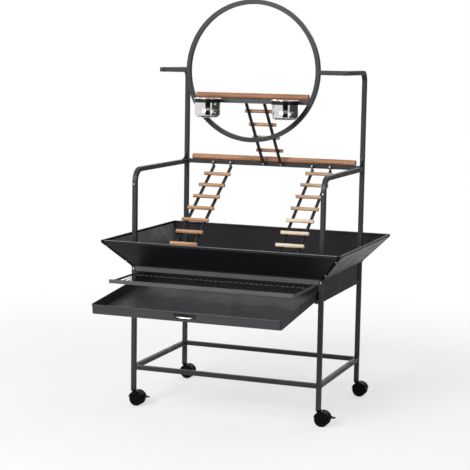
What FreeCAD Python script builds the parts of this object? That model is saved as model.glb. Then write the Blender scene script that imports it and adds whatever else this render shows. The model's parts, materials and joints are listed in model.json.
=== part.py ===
import FreeCAD, Part
import math
import os
import Sketcher

# Play stand on casters: a square-tube stand, a flared seed-catching pan with a pull-out grate
# and tray below it, two side arches, a tall hoop with a perch and two cups, and three rung
# ladders. Millimetres, +X to the right, +Y to the back, +Z up, floor at Z = 0. The origin lies
# below the middle of the whole stand as it is shown, with its tray and grate pulled out.

doc = FreeCAD.newDocument("play_stand")
sheet = doc.addObject("Spreadsheet::Sheet", "Sizes")
NODES = []
ROWS = []

UP = FreeCAD.Vector(0, 0, 1)
LEFTWARD = FreeCAD.Vector(-1, 0, 0)
RIGHTWARD = FreeCAD.Vector(1, 0, 0)
ALONG = {
    "z": FreeCAD.Rotation(),
    "y": FreeCAD.Rotation(RIGHTWARD, 90),
    "x": FreeCAD.Rotation(FreeCAD.Vector(1, 1, 1), 120),
}
SIDES = (("left", -1), ("right", 1))
ENDS = (("front", -1), ("back", 1))


# Sizes -----------------------------------------------------------------------------------------


class Size:
    """A number together with the expression that works it out from the sheet."""

    def __init__(self, number, text):
        self.number = float(number)
        self.text = text

    def __add__(self, other):
        other = as_size(other)
        return Size(self.number + other.number, f"({self.text} + {other.text})")

    def __sub__(self, other):
        other = as_size(other)
        return Size(self.number - other.number, f"({self.text} - {other.text})")

    def __mul__(self, other):
        other = as_size(other)
        return Size(self.number * other.number, f"({self.text} * {other.text})")

    def __truediv__(self, other):
        other = as_size(other)
        return Size(self.number / other.number, f"({self.text} / {other.text})")

    def __radd__(self, other):
        return as_size(other) + self

    def __rsub__(self, other):
        return as_size(other) - self

    def __rmul__(self, other):
        return as_size(other) * self

    def __neg__(self):
        return as_size(0) - self


def as_size(value):
    """A Size as it is, or a plain number as a Size."""
    return value if isinstance(value, Size) else Size(value, f"({value:g})")


def dimension(name, number, note):
    """One driving dimension, a row of the sheet."""
    ROWS.append(name)
    row = len(ROWS)
    sheet.set(f"A{row}", note)
    sheet.set(f"B{row}", f"{number:g}")
    sheet.setAlias(f"B{row}", name)
    return Size(number, f"Sizes.{name}")


def root(value):
    """The square root of a Size."""
    return Size(math.sqrt(value.number), f"sqrt({value.text})")


def sine(angle):
    """The sine of a Size in degrees."""
    return Size(math.sin(math.radians(angle.number)), f"sin({angle.text})")


def cosine(angle):
    """The cosine of a Size in degrees."""
    return Size(math.cos(math.radians(angle.number)), f"cos({angle.text})")


def arcsine(value):
    """The angle in degrees that has this sine."""
    return Size(math.degrees(math.asin(value.number)), f"asin({value.text})")


def arctangent(value):
    """The angle in degrees that has this tangent."""
    return Size(math.degrees(math.atan(value.number)), f"atan({value.text})")


tube = dimension("tube", 19, "side of the square tube")
tube_wall = dimension("tube_wall", 1.5, "wall of the square tube")
tube_round = dimension("tube_round", 2, "outer corner radius of the square tube")
cap_height = dimension("cap_height", 2, "height of the cap on an open tube end")
leg_spread = dimension("leg_spread", 816, "left legs to right legs, centre to centre")
leg_depth = dimension("leg_depth", 548, "front legs to back legs, centre to centre")
leg_bottom = dimension("leg_bottom", 66, "floor to the bottom of the leg tubes")
lower_rail_height = dimension("lower_rail_height", 162, "floor to the middle of the lower rails")
housing_top = dimension("housing_top", 597, "floor to the top of the drawer housing")
housing_bottom = dimension("housing_bottom", 505, "floor to the bottom of the drawer housing")
front_rail_height = dimension("front_rail_height", 25, "height of the rail over the drawers")
sheet_wall = dimension("sheet_wall", 1.5, "thickness of the sheet metal")
tray_ledge = dimension("tray_ledge", 42, "width of the ledge under the tray")
grate_ledge = dimension("grate_ledge", 44, "width of the ledge under the grate")
ledge_upright = dimension("ledge_upright", 14, "height of the grate ledge's upright")
bracket_length = dimension("bracket_length", 45, "rear corner bracket, front to back")
bracket_height = dimension("bracket_height", 80, "rear corner bracket, top to bottom")
skirt_wall = dimension("skirt_wall", 2, "skirt thickness, measured level")
skirt_lap = dimension("skirt_lap", 4, "how far a skirt laps down over the housing")
skirt_flare = dimension("skirt_flare", 91.5, "how far each skirt leans out")
skirt_rise = dimension("skirt_rise", 100, "height of the sloping part of a skirt")
skirt_lip = dimension("skirt_lip", 10, "height of the upright lip on a skirt")
corner_lap = dimension("corner_lap", 13, "how far a corner strip reaches along each skirt")
arm_height = dimension("arm_height", 994, "floor to the middle of the side arms")
arch_bend = dimension("arch_bend", 50, "centre-line radius of the side arch bend")
gusset = dimension("gusset", 42, "side of the curved gusset above each arm")
gusset_toe = dimension("gusset_toe", 3, "height of the gusset's thin ends")
gusset_wall = dimension("gusset_wall", 5, "thickness of the gusset")
post_top = dimension("post_top", 1404, "floor to the middle of the top arms")
top_bend = dimension("top_bend", 38, "centre-line radius of the top bend")
ring_forward = dimension("ring_forward", 274, "back posts to the plane of the hoop")
ring_radius = dimension("ring_radius", 296, "outer radius of the hoop")
ring_bar_height = dimension("ring_bar_height", 1280, "floor to the middle of the bar in the hoop")
crossbar_rise = dimension("crossbar_rise", 3, "side arms up to the back crossbar, middles")
perch_radius = dimension("perch_radius", 12, "radius of the two perch dowels")
perch_length = dimension("perch_length", 758, "length of the main perch")
ring_perch_gap = dimension("ring_perch_gap", 2.2, "gap between the hoop and its perch's ends")
cup_spacing = dimension("cup_spacing", 342, "cup to cup, centre to centre")
cup_radius = dimension("cup_radius", 54, "outer radius of a cup")
cup_depth = dimension("cup_depth", 80, "height of a cup")
cup_bevel = dimension("cup_bevel", 10, "bevel round the foot of a cup")
cup_wall = dimension("cup_wall", 1.2, "wall of a cup")
cup_rim = dimension("cup_rim", 5, "width of a cup's turned rim")
holder_wall = dimension("holder_wall", 3, "wall of a cup holder band")
holder_height = dimension("holder_height", 17, "height of a cup holder band")
holder_pad = dimension("holder_pad", 30, "width of the pad that joins a band to the bar")
holder_reach = dimension("holder_reach", 6, "gap from the bar to a band, which the pad fills")
tray_width = dimension("tray_width", 783, "tray, side to side over its hem")
tray_length = dimension("tray_length", 530, "tray, front to back")
tray_depth = dimension("tray_depth", 37, "height of the tray")
tray_round = dimension("tray_round", 8, "corner radius of the tray")
tray_out = dimension("tray_out", 421, "how far the tray is pulled out")
tray_droop_angle = dimension("tray_droop_angle", 5.8, "tilt of the pulled-out tray, degrees")
hem_height = dimension("hem_height", 5, "height of the tray's folded hem")
hem_wall = dimension("hem_wall", 1, "extra thickness of the hem")
pull_length = dimension("pull_length", 94, "length of the finger pull")
pull_height = dimension("pull_height", 19, "height of the finger pull")
pull_depth = dimension("pull_depth", 13, "depth of the finger pull")
pull_drop = dimension("pull_drop", 15, "top of the tray to the middle of the finger pull")
pull_offset = dimension("pull_offset", 3, "middle of the tray to the middle of the finger pull")
pull_flat = dimension("pull_flat", 1, "straight part of the finger pull's round ends")
pull_wall = dimension("pull_wall", 1.2, "wall of the finger pull's dish")
roller_radius = dimension("roller_radius", 6, "radius of the rollers under the tray")
roller_width = dimension("roller_width", 14, "width of those rollers")
roller_proud = dimension("roller_proud", 0.6, "how far those rollers stand above the ledges")
roller_pin = dimension("roller_pin", 2.5, "radius of the pins they turn on")
pin_head = dimension("pin_head", 1.5, "how much wider the head of such a pin is")
grate_width = dimension("grate_width", 772, "grate, side to side")
grate_length = dimension("grate_length", 530, "grate, front to back")
grate_bar = dimension("grate_bar", 8, "height of the grate's side bars")
grate_front_bar = dimension("grate_front_bar", 15, "height of the grate's front bar")
grate_bar_wall = dimension("grate_bar_wall", 6, "thickness of the grate's bars")
grate_out = dimension("grate_out", 271, "how far the grate is pulled out")
wire_radius = dimension("wire_radius", 1.6, "radius of the grate's wires")
wire_pitch = dimension("wire_pitch", 21.7, "wire to wire, centre to centre")
rod_radius = dimension("rod_radius", 2.2, "radius of the grate's cross rods")
rod_pitch = dimension("rod_pitch", 218, "front bar to the first cross rod, and rod to rod")
WIRES_EACH_SIDE = 17
RODS = 2
ladder_x = dimension("ladder_x", 230, "stand's middle to the middle of a side ladder")
top_ladder_x = dimension("top_ladder_x", 6.5, "stand's middle to the middle of the top ladder")
ladder_spacing = dimension("ladder_spacing", 81, "rail to rail, centre to centre")
ladder_drop = dimension("ladder_drop", 20, "hook pin down to the rails of a side ladder")
rail_width = dimension("rail_width", 10, "width of a ladder rail")
rail_depth = dimension("rail_depth", 10, "depth of a ladder rail")
rail_start = dimension("rail_start", 2, "hook pin to the upper ends of a side ladder's rails")
rung_length = dimension("rung_length", 122, "length of a rung")
rung_radius = dimension("rung_radius", 8, "radius of a rung")
rung_first_left = dimension("rung_first_left", 72, "left ladder, hook pin to the first rung")
rung_first_right = dimension("rung_first_right", 40, "right ladder, hook pin to the first rung")
rung_first_top = dimension("rung_first_top", 73, "top ladder, hook pin to the first rung")
rung_last_left = dimension("rung_last_left", 48, "left ladder, last rung to the rails' end")
rung_last_right = dimension("rung_last_right", 80, "right ladder, last rung to the rails' end")
rung_last_top = dimension("rung_last_top", 68, "top ladder, last rung to the rails' end")
SIDE_RUNGS = 8
TOP_RUNGS = 4
top_ladder_rest = dimension("top_ladder_rest", 4, "bar's middle down to the top ladder's end")
eye_radius = dimension("eye_radius", 4, "screw-eye ring, centre-line radius")
eye_wire = dimension("eye_wire", 1.5, "screw-eye wire radius")
EYE_SIDES = 8
FULL_TURN = 360
eye_reach = dimension("eye_reach", 13, "crossbar face to the middle of a screw-eye")
hook_length = dimension("hook_length", 12, "hook pin to the end of the hook's cheeks")
hook_wall = dimension("hook_wall", 1.6, "thickness of a hook's cheeks")
hook_top = dimension("hook_top", 4, "hook cheek above and behind its pin")
wheel_radius = dimension("wheel_radius", 30, "radius of a caster wheel")
wheel_width = dimension("wheel_width", 15, "width of one wheel")
wheel_bevel = dimension("wheel_bevel", 2.5, "bevel of the tread edges")
wheel_dish = dimension("wheel_dish", 2, "depth of the wheel's outer dish")
dish_radius = dimension("dish_radius", 21, "radius of the wheel's outer dish")
hub_radius = dimension("hub_radius", 8, "radius of the hub in that dish")
axle_radius = dimension("axle_radius", 3.5, "radius of the caster axle")
caster_web = dimension("caster_web", 13, "thickness of the caster body between wheels")
caster_trail = dimension("caster_trail", 18, "swivel stem to wheel axle")
hood_gap = dimension("hood_gap", 1, "wheel tread to the inside of the hood")
hood_wall = dimension("hood_wall", 2, "wall of the caster hood")
hood_drop = dimension("hood_drop", 6, "axle up to the lower edge of the hood")
ear_sink = dimension("ear_sink", 6, "how far the brake's ears run into the hood")
web_drop = dimension("web_drop", 8, "axle down to the lower edge of the web")
stem_radius = dimension("stem_radius", 4, "radius of the swivel stem")
stem_length = dimension("stem_length", 22, "length of the swivel stem below the plug")
plug_flange = dimension("plug_flange", 3, "height of the plug's flange under the leg")
plug_length = dimension("plug_length", 25, "length of the plug inside the leg")
boss_radius = dimension("boss_radius", 9, "radius of the disc round the stem")
boss_height = dimension("boss_height", 6, "height of that disc")
brake_width = dimension("brake_width", 20, "width of the brake pedal")
brake_length = dimension("brake_length", 15, "length of the brake pedal")
brake_wall = dimension("brake_wall", 3, "thickness of the brake pedal")
brake_pin = dimension("brake_pin", 1.5, "radius of the brake pin")
brake_ear = dimension("brake_ear", 3, "thickness of the ears that hold the pin")
brake_reach = dimension("brake_reach", 5, "hood to the middle of the brake pin")
screw_radius = dimension("screw_radius", 3.5, "radius of a screw head")
screw_head = dimension("screw_head", 1.8, "height of a screw head")
leg_screw = dimension("leg_screw", 581, "floor to the screws near the tops of the legs")
arch_screw_drop = dimension("arch_screw_drop", 60, "side arms down to the arch posts' screws")
pan_screw_low = dimension("pan_screw_low", 20, "housing top up to the lower corner screws")
pan_screw_high = dimension("pan_screw_high", 85, "housing top up to the upper corner screws")
seat_gap = dimension("seat_gap", 0.3, "gap between pieces that move on each other")
turn_gap = dimension("turn_gap", 0.15, "gap round a turning pin")
doc.recompute()

# Places that many pieces share. Y counts from the middle between the legs.
half_tube = tube / 2
leg_x = leg_spread / 2
leg_y = leg_depth / 2
out_x = leg_x + half_tube
out_y = leg_y + half_tube
in_x = leg_x - half_tube
in_y = leg_y - half_tube
ring_y = leg_y - ring_forward
crossbar_height = arm_height + crossbar_rise

# The perch in the hoop lies on its bar and ends just clear of the hoop's inside.
hoop_inner = ring_radius - tube
perch_below = post_top - ring_bar_height - half_tube
ring_perch_length = 2 * (root(hoop_inner * hoop_inner - perch_below * perch_below) - ring_perch_gap)
ledge_top = housing_bottom + sheet_wall
grate_rest = housing_top - front_rail_height - 2 * seat_gap - grate_bar

# The tray rolls on two rollers at the front of its ledges and droops about their axis.
roller_y = roller_radius - out_y
roller_z = ledge_top + roller_proud - roller_radius
tray_bottom = roller_radius + seat_gap
tray_top = tray_bottom + tray_depth
tray_front = tray_out + roller_radius
tray_reach = tray_front * cosine(tray_droop_angle) + tray_top * sine(tray_droop_angle)

# The origin is the middle between the tray's front edge and the pan's back corners.
strip_out = skirt_wall + skirt_flare + sheet_wall
shift = (tray_reach - roller_y - out_y - strip_out) / 2


def stand_at(piece, x=0, y=0, z=0, turn=None):
    """Put a solid at x, y, z in the frame of the piece it belongs to."""
    piece.Placement = FreeCAD.Placement(FreeCAD.Vector(), turn or FreeCAD.Rotation())
    for axis, where in (("x", x), ("y", y), ("z", z)):
        piece.setExpression(f"Placement.Base.{axis}", as_size(where).text)
    return piece


def place(piece, x=0, y=0, z=0, turn=None):
    """Put a finished piece down at x, y, z, where y counts from the middle between the legs."""
    return stand_at(piece, x, as_size(y) + shift, z, turn)


def lean(piece, axis, angle):
    """Turn a placed piece about a fixed axis by a bound angle above zero."""
    piece.Placement = FreeCAD.Placement(FreeCAD.Vector(), FreeCAD.Rotation(axis, angle.number))
    piece.setExpression("Placement.Rotation.Angle", angle.text)
    return piece


def node(piece, label):
    """Name a finished sub-part."""
    piece.Label = label
    NODES.append(piece)
    return piece


# Sketches --------------------------------------------------------------------------------------


def sketch(body, role="XY_Plane", lift=0, across=0):
    """A sketch on one of the body's own planes, lifted off it and moved up in it."""
    plane = next(item for item in body.Origin.OriginFeatures if item.Role == role)
    drawing = body.newObject("Sketcher::SketchObject", "outline")
    drawing.AttachmentSupport = (plane, [""])
    drawing.MapMode = "FlatFace"
    drawing.setExpression("AttachmentOffset.Base.z", as_size(lift).text)
    drawing.setExpression("AttachmentOffset.Base.y", as_size(across).text)
    return drawing


def fix(drawing, kind, where, size):
    """One dimension of a sketch, bound to the sheet."""
    size = as_size(size)
    index = drawing.addConstraint(Sketcher.Constraint(kind, *where, size.number))
    drawing.setExpression(f"Constraints[{index}]", size.text)


def polygon(drawing, corners):
    """A closed outline with straight sides, each corner placed from the sketch's origin."""
    corners = [(as_size(x), as_size(y)) for x, y in corners]
    points = [FreeCAD.Vector(x.number, y.number, 0) for x, y in corners]
    first = drawing.GeometryCount
    for index, point in enumerate(points):
        drawing.addGeometry(Part.LineSegment(point, points[(index + 1) % len(points)]), False)
    for index, (x, y) in enumerate(corners):
        before = first + (index - 1) % len(points)
        drawing.addConstraint(Sketcher.Constraint("Coincident", before, 2, first + index, 1))
        fix(drawing, "DistanceX", (-1, 1, first + index, 1), x)
        fix(drawing, "DistanceY", (-1, 1, first + index, 1), y)


def rectangle(drawing, x0, x1, y0, y1):
    """An upright rectangle between two corners."""
    polygon(drawing, [(x0, y0), (x1, y0), (x1, y1), (x0, y1)])


def rounded(drawing, x0, x1, y0, y1, radius):
    """A rectangle with four equal round corners."""
    left, right, low, high, r = (as_size(size).number for size in (x0, x1, y0, y1, radius))
    ends = (
        ((left + r, low), (right - r, low)),
        ((right, low + r), (right, high - r)),
        ((right - r, high), (left + r, high)),
        ((left, high - r), (left, low + r)),
    )
    centres = ((right - r, low + r), (right - r, high - r), (left + r, high - r), (left + r, low + r))
    first = drawing.GeometryCount
    for start, end in ends:
        line = Part.LineSegment(FreeCAD.Vector(*start, 0), FreeCAD.Vector(*end, 0))
        drawing.addGeometry(line, False)
    for index, centre in enumerate(centres):
        circle = Part.Circle(FreeCAD.Vector(*centre, 0), UP, r)
        begin = math.radians(90 * index - 90)
        drawing.addGeometry(Part.ArcOfCircle(circle, begin, begin + math.pi / 2), False)
    for index in range(4):
        line = first + index
        arc = first + 4 + index
        following = first + (index + 1) % 4
        drawing.addConstraint(Sketcher.Constraint("Tangent", line, 2, arc, 1))
        drawing.addConstraint(Sketcher.Constraint("Tangent", arc, 2, following, 1))
        drawing.addConstraint(Sketcher.Constraint("Vertical" if index % 2 else "Horizontal", line))
        if index:
            drawing.addConstraint(Sketcher.Constraint("Equal", first + 4, arc))
    fix(drawing, "Radius", (first + 4,), radius)
    fix(drawing, "DistanceY", (-1, 1, first, 1), y0)
    fix(drawing, "DistanceX", (-1, 1, first + 1, 1), x1)
    fix(drawing, "DistanceY", (-1, 1, first + 2, 1), y1)
    fix(drawing, "DistanceX", (-1, 1, first + 3, 1), x0)


def softened(x0, x1, y0, y1, radius):
    """A rectangle's corners, each round one drawn as two flats that meet on its arc."""
    near = radius * (1 - math.sqrt(0.5))
    corners = []
    for x, y, inward, upward in ((x0, y0, 1, 1), (x1, y0, -1, 1), (x1, y1, -1, -1), (x0, y1, 1, -1)):
        steps = [(x, y + upward * radius), (x + inward * near, y + upward * near),
                 (x + inward * radius, y)]
        corners += steps if inward * upward > 0 else steps[::-1]
    return corners


def elbow(drawing, start, corner, end, radius):
    """A path straight up, round one bend at the corner, and level to the end."""
    x0, y0 = (as_size(size).number for size in start)
    x1, y1 = (as_size(size).number for size in corner)
    x2, y2 = (as_size(size).number for size in end)
    r = radius.number
    side = 1 if x2 > x1 else -1
    circle = Part.Circle(FreeCAD.Vector(x1 + side * r, y1 - r, 0), UP, r)
    begin = math.pi / 2 if side > 0 else 0
    upright = Part.LineSegment(FreeCAD.Vector(x0, y0, 0), FreeCAD.Vector(x1, y1 - r, 0))
    level = Part.LineSegment(FreeCAD.Vector(x1 + side * r, y1, 0), FreeCAD.Vector(x2, y2, 0))
    bend = Part.ArcOfCircle(circle, begin, begin + math.pi / 2)
    drawing.addGeometry([upright, bend, level], False)
    near, far = (2, 1) if side > 0 else (1, 2)
    drawing.addConstraint(Sketcher.Constraint("Tangent", 0, 2, 1, near))
    drawing.addConstraint(Sketcher.Constraint("Tangent", 1, far, 2, 1))
    drawing.addConstraint(Sketcher.Constraint("Vertical", 0))
    drawing.addConstraint(Sketcher.Constraint("Horizontal", 2))
    fix(drawing, "Radius", (1,), radius)
    fix(drawing, "DistanceX", (-1, 1, 0, 1), start[0])
    fix(drawing, "DistanceY", (-1, 1, 0, 1), start[1])
    fix(drawing, "DistanceX", (-1, 1, 2, 2), end[0])
    fix(drawing, "DistanceY", (-1, 1, 2, 2), end[1])


# Features and solids ---------------------------------------------------------------------------


def new_body(name):
    """An empty body, built in its own frame."""
    return doc.addObject("PartDesign::Body", name)


def pad(body, drawing, length):
    """Extrude a sketch along its normal."""
    feature = body.newObject("PartDesign::Pad", "pad")
    feature.Profile = drawing
    feature.setExpression("Length", as_size(length).text)
    return feature


def pocket(body, drawing, depth):
    """Cut a sketch into the body against its normal."""
    feature = body.newObject("PartDesign::Pocket", "pocket")
    feature.Profile = drawing
    feature.setExpression("Length", as_size(depth).text)
    return feature


def turned(body, drawing):
    """Turn a sketch on the XZ plane through a full circle about the body's Z axis."""
    feature = body.newObject("PartDesign::Revolution", "turned")
    feature.Profile = drawing
    feature.ReferenceAxis = (drawing, ["V_Axis"])
    feature.Angle = FULL_TURN
    return feature


def loft(body, drawings):
    """A solid with flat sides through several outlines."""
    feature = body.newObject("PartDesign::AdditiveLoft", "loft")
    feature.Profile = drawings[0]
    feature.Sections = drawings[1:]
    feature.Ruled = True
    return feature


def cylinder(name, radius, length):
    """A plain cylinder along its own Z axis."""
    solid = doc.addObject("Part::Cylinder", name)
    solid.setExpression("Radius", as_size(radius).text)
    solid.setExpression("Height", as_size(length).text)
    return solid


def box(name, length, width, height):
    """A plain box from its own origin."""
    solid = doc.addObject("Part::Box", name)
    solid.setExpression("Length", as_size(length).text)
    solid.setExpression("Width", as_size(width).text)
    solid.setExpression("Height", as_size(height).text)
    return solid


def combine(kind, name, base, tool):
    """Cut tool from base, or keep what both share."""
    solid = doc.addObject(f"Part::{kind}", name)
    solid.Base = base
    solid.Tool = tool
    return solid


def fuse(name, solids):
    """Several solids joined into one."""
    solid = doc.addObject("Part::MultiFuse", name)
    solid.Shapes = solids
    solid.Refine = True
    return solid


def group(name, solids):
    """Separate solids kept together as one sub-part."""
    members = doc.addObject("Part::Compound", name)
    members.Links = solids
    return members


def tube_section(drawing, height=tube):
    """The hollow section of the tube, as wide as the tube and as high as asked."""
    up = height / 2
    bore_x = half_tube - tube_wall
    bore_y = up - tube_wall
    rounded(drawing, -half_tube, half_tube, -up, up, tube_round)
    rectangle(drawing, -bore_x, bore_x, -bore_y, bore_y)


def straight_tube(label, along, length, x, y, z):
    """A straight tube from x, y, z; one along Y runs forward from there."""
    return node(place(tube_body(label, length), x, y, z, ALONG[along]), label)


def tube_body(label, length):
    """A length of the square tube along its own Z axis."""
    body = new_body(label)
    section = sketch(body)
    tube_section(section)
    pad(body, section, length)
    return body


def bent_tube(label, x, start, corner, end, radius):
    """A square tube that rises, bends once and runs level, in an upright plane at x."""
    body = new_body(label)
    path = sketch(body, "YZ_Plane")
    elbow(path, start, corner, end, radius)
    section = sketch(body, lift=start[1], across=start[0])
    tube_section(section)
    sweep = body.newObject("PartDesign::AdditivePipe", "bent")
    sweep.Profile = section
    sweep.Spine = (path, ["Edge1", "Edge2", "Edge3"])
    return node(place(body, x), label)


# Stand -----------------------------------------------------------------------------------------


def legs_and_lower_rails():
    """Four legs, and four rails between them near the floor."""
    for end, back in ENDS:
        for side, right in SIDES:
            length = housing_top - leg_bottom
            straight_tube(f"leg_{end}_{side}", "z", length, right * leg_x, back * leg_y, leg_bottom)
        straight_tube(f"lower_rail_{end}", "x", 2 * in_x, -in_x, back * leg_y, lower_rail_height)
    for side, right in SIDES:
        straight_tube(f"lower_rail_{side}", "y", 2 * in_y, right * leg_x, in_y, lower_rail_height)


def arches_and_posts():
    """On each side a front post and arm in one, a back post, and a top post and arm in one.

    Arms to the hoop are welded to the top arms' front ends, which are capped.
    """
    joint = arm_height + half_tube + gusset
    posts = []
    ring_arms = []
    for side, right in SIDES:
        x = right * leg_x
        bent_tube(f"side_arch_{side}", x, (-leg_y, housing_top), (-leg_y, arm_height),
                  (in_y, arm_height), arch_bend)
        posts.append(stand_at(tube_body(f"post_{side}", joint - housing_top), x, leg_y, housing_top))
        bent_tube(f"top_arm_{side}", x, (leg_y, joint), (leg_y, post_top),
                  (ring_y - half_tube, post_top), top_bend)
        start = ring_radius if right > 0 else -in_x
        arm = tube_body(f"ring_arm_{side}", in_x - ring_radius)
        ring_arms.append(stand_at(arm, start, ring_y, post_top, ALONG["x"]))
    node(place(group("back_posts", posts)), "back_posts")
    node(place(group("ring_arms", ring_arms + arm_caps())), "ring_arms")


def arm_caps():
    """Caps on the open front ends of the top arms."""
    caps = []
    for side, right in SIDES:
        cap = new_body(f"cap_{side}")
        section = sketch(cap)
        rounded(section, -half_tube, half_tube, -half_tube, half_tube, tube_round)
        pad(cap, section, cap_height)
        caps.append(stand_at(cap, right * leg_x, ring_y - half_tube, post_top, ALONG["y"]))
    return caps


def arm_gussets():
    """A plate with a hollow curve in the corner above each side arm."""
    plates = []
    for side, right in SIDES:
        x = right * leg_x - gusset_wall / 2
        y = in_y - gusset
        z = arm_height + half_tube
        plate = stand_at(box(f"plate_{side}", gusset_wall, gusset, gusset), x, y, z)
        hollow = cylinder(f"hollow_{side}", gusset - gusset_toe, gusset_wall)
        stand_at(hollow, x, y, z + gusset, ALONG["x"])
        plates.append(combine("Cut", f"gusset_{side}", plate, hollow))
    node(place(group("arm_gussets", plates)), "arm_gussets")


def crossbar_and_perch():
    """The crossbar between the back posts, with the main perch along its top."""
    straight_tube("back_crossbar", "x", 2 * in_x, -in_x, leg_y, crossbar_height)
    dowel = cylinder("main_perch", perch_radius, perch_length)
    z = crossbar_height + half_tube + perch_radius
    node(place(dowel, -(perch_length / 2), leg_y, z, ALONG["x"]), "main_perch")


def hoop():
    """The hoop, the bar across it with ends cut to the hoop's inside, and the bar's perch."""
    body = new_body("ring")
    section = sketch(body, "XZ_Plane")
    polygon(section, softened(hoop_inner, ring_radius, -half_tube, half_tube, tube_round))
    turned(body, section)
    node(place(body, 0, ring_y, post_top, ALONG["y"]), "ring")
    bore = tube - 2 * tube_wall
    outside = stand_at(box("bar_outside", 2 * ring_radius, tube, tube),
                       -ring_radius, -half_tube, -half_tube)
    inside = stand_at(box("bar_inside", 2 * ring_radius, bore, bore),
                      -ring_radius, -(bore / 2), -(bore / 2))
    stock = combine("Cut", "bar_stock", outside, inside)
    trim = stand_at(cylinder("bar_trim", hoop_inner, tube), 0, half_tube, post_top - ring_bar_height,
                    ALONG["y"])
    bar = combine("Common", "ring_bar", stock, trim)
    node(place(bar, 0, ring_y, ring_bar_height), "ring_bar")
    dowel = cylinder("ring_perch", perch_radius, ring_perch_length)
    z = ring_bar_height + half_tube + perch_radius
    node(place(dowel, -(ring_perch_length / 2), ring_y, z, ALONG["x"]), "ring_perch")


# Pan and drawer housing --------------------------------------------------------------------------


def profile_along(label, corners):
    """A strip with the given section, XZ corners, that fits between front and back legs."""
    body = new_body(label)
    section = sketch(body)
    polygon(section, corners)
    pad(body, section, 2 * in_y)
    return stand_at(body, 0, in_y, 0, ALONG["y"])


def housing():
    """Rail over the drawers, back panel, side panels with tray ledges, and grate ledges."""
    rail = new_body("housing_front_rail")
    section = sketch(rail)
    up = front_rail_height / 2
    bore = half_tube - tube_wall
    rounded(section, -half_tube, half_tube, -up, up, tube_round)
    rectangle(section, -bore, bore, tube_wall - up, up - tube_wall)
    pad(rail, section, 2 * in_x)
    node(place(rail, -in_x, -leg_y, housing_top - up, ALONG["x"]), "housing_front_rail")
    panel = box("housing_back_panel", 2 * in_x, sheet_wall, housing_top - housing_bottom)
    node(place(panel, -in_x, out_y - sheet_wall, housing_bottom), "housing_back_panel")
    runners = []
    for name, right in SIDES:
        outer = right * out_x
        inner = right * (out_x - sheet_wall)
        ledge = right * (out_x - tray_ledge)
        side = profile_along(f"side_panel_{name}", [
            (outer, housing_bottom), (outer, housing_top), (inner, housing_top),
            (inner, ledge_top), (ledge, ledge_top), (ledge, housing_bottom),
        ])
        node(place(side, 0, in_y, 0, ALONG["y"]), f"side_panel_{name}")
        web = right * (out_x - 2 * sheet_wall)
        ledge = right * (out_x - grate_ledge)
        runners.append(profile_along(f"grate_runner_{name}", [
            (inner, grate_rest - sheet_wall), (inner, grate_rest + ledge_upright),
            (web, grate_rest + ledge_upright), (web, grate_rest), (ledge, grate_rest),
            (ledge, grate_rest - sheet_wall),
        ]))
    node(place(group("grate_runners", runners)), "grate_runners")


def rear_brackets():
    """Flat brackets over the rear ends of the side panels."""
    plates = []
    for side, right in SIDES:
        plate = box(f"bracket_{side}", sheet_wall, bracket_length, bracket_height)
        x = out_x if right > 0 else -(out_x + sheet_wall)
        z = housing_top - skirt_lap - seat_gap - bracket_height
        plates.append(stand_at(plate, x, in_y - bracket_length, z))
    return plates


def skirt_levels():
    """Height and lean of the lap's foot, the fold, the lip's foot and the rim."""
    return (
        (housing_top - skirt_lap, as_size(0)),
        (housing_top, as_size(0)),
        (housing_top + skirt_rise, skirt_flare),
        (housing_top + skirt_rise + skirt_lip, skirt_flare),
    )


def skirts():
    """Four flared skirts, mitred at the corners; each is drawn as the front one and turned."""
    quarters = (("front", out_x, out_y), ("right", out_y, out_x),
                ("back", out_x, out_y), ("left", out_y, out_x))
    for index, (name, half, reach) in enumerate(quarters):
        body = new_body(f"skirt_{name}")
        drawings = []
        for height, leaning in skirt_levels():
            far = leaning + skirt_wall
            section = sketch(body, lift=height)
            polygon(section, [
                (-(half + leaning), -(reach + leaning)), (half + leaning, -(reach + leaning)),
                (half + far, -(reach + far)), (-(half + far), -(reach + far)),
            ])
            drawings.append(section)
        loft(body, drawings)
        node(place(body, turn=FreeCAD.Rotation(UP, 90 * index)), f"skirt_{name}")


def corner_plates():
    """A folded strip over the outside of each mitred corner, and the brackets below them."""
    strips = rear_brackets()
    for end, back in ENDS:
        for side, right in SIDES:
            body = new_body(f"corner_{end}_{side}")
            drawings = []
            for height, leaning in skirt_levels():
                near = leaning + skirt_wall
                far = near + sheet_wall
                tail = far - corner_lap
                section = sketch(body, lift=height)
                polygon(section, [
                    (right * (out_x + far), back * (out_y + far)),
                    (right * (out_x + tail), back * (out_y + far)),
                    (right * (out_x + tail), back * (out_y + near)),
                    (right * (out_x + near), back * (out_y + near)),
                    (right * (out_x + near), back * (out_y + tail)),
                    (right * (out_x + far), back * (out_y + tail)),
                ])
                drawings.append(section)
            loft(body, drawings)
            strips.append(body)
    node(place(group("corner_plates", strips)), "corner_plates")


def screw_heads():
    """Screw heads on the legs, the arch posts and the corner strips."""
    heads = []

    def head(x, y, z, tilt):
        screw = cylinder("screw", screw_radius, screw_head)
        heads.append(stand_at(screw, x, y, z, FreeCAD.Rotation(RIGHTWARD, tilt)))

    slope = 90 + arctangent(skirt_flare / skirt_rise).number
    for end, back in ENDS:
        for side, right in SIDES:
            head(right * leg_x, back * out_y, leg_screw, -90 * back)
            for up in (pan_screw_low, pan_screw_high):
                far = skirt_flare * up / skirt_rise + skirt_wall + sheet_wall
                x = right * (out_x + far - corner_lap / 2)
                head(x, back * (out_y + far), housing_top + up, -slope * back)
    for side, right in SIDES:
        head(right * leg_x, -out_y, arm_height - arch_screw_drop, 90)
    return heads


# Cups --------------------------------------------------------------------------------------------

band_outer = cup_radius + seat_gap + holder_wall
cup_y = ring_y - half_tube - holder_reach - band_outer
holder_top = ring_bar_height + half_tube


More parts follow.
